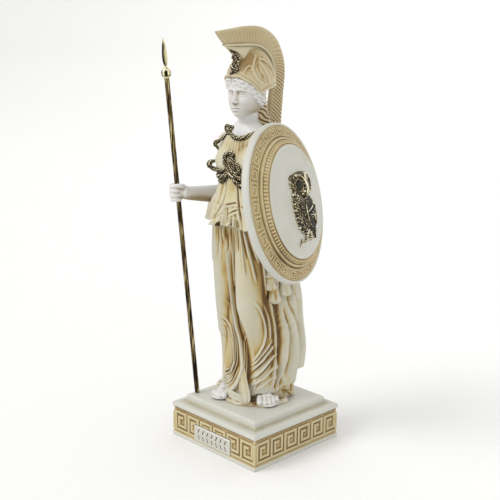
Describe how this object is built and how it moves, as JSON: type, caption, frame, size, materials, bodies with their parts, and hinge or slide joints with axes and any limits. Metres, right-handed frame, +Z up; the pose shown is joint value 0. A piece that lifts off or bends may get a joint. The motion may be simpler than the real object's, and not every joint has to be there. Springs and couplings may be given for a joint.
{
  "type": "helmeted goddess statuette",
  "caption": "Statuette of a helmeted goddess in a long pleated dress, holding a spear and a round owl shield, on a square plinth with a meander band.",
  "frame": {"origin": "middle of the plinth's underside", "axes": "+Z up along the figure, the name plate faces -Y and her left side faces +X"},
  "size_m": [0.1199, 0.1216, 0.3436],
  "materials": {
    "plinth": "satin cast marble powder and resin, tan wash in the band",
    "name_plate": "satin cast marble powder and resin",
    "figure": "cast marble powder and resin with an ochre wash in the folds, wiped on the high parts",
    "shield": "satin cast marble powder and resin, tan bands, bronze painted owl",
    "spear_shaft": "dark bronze patina",
    "spear_head": "polished brass"
  },
  "bodies": {
    "root": {"plinth": "plinth", "name_plate": "name_plate", "figure": "figure", "shield": "shield", "spear_shaft": "spear_shaft", "spear_head": "spear_head"}
  },
  "joints": []
}
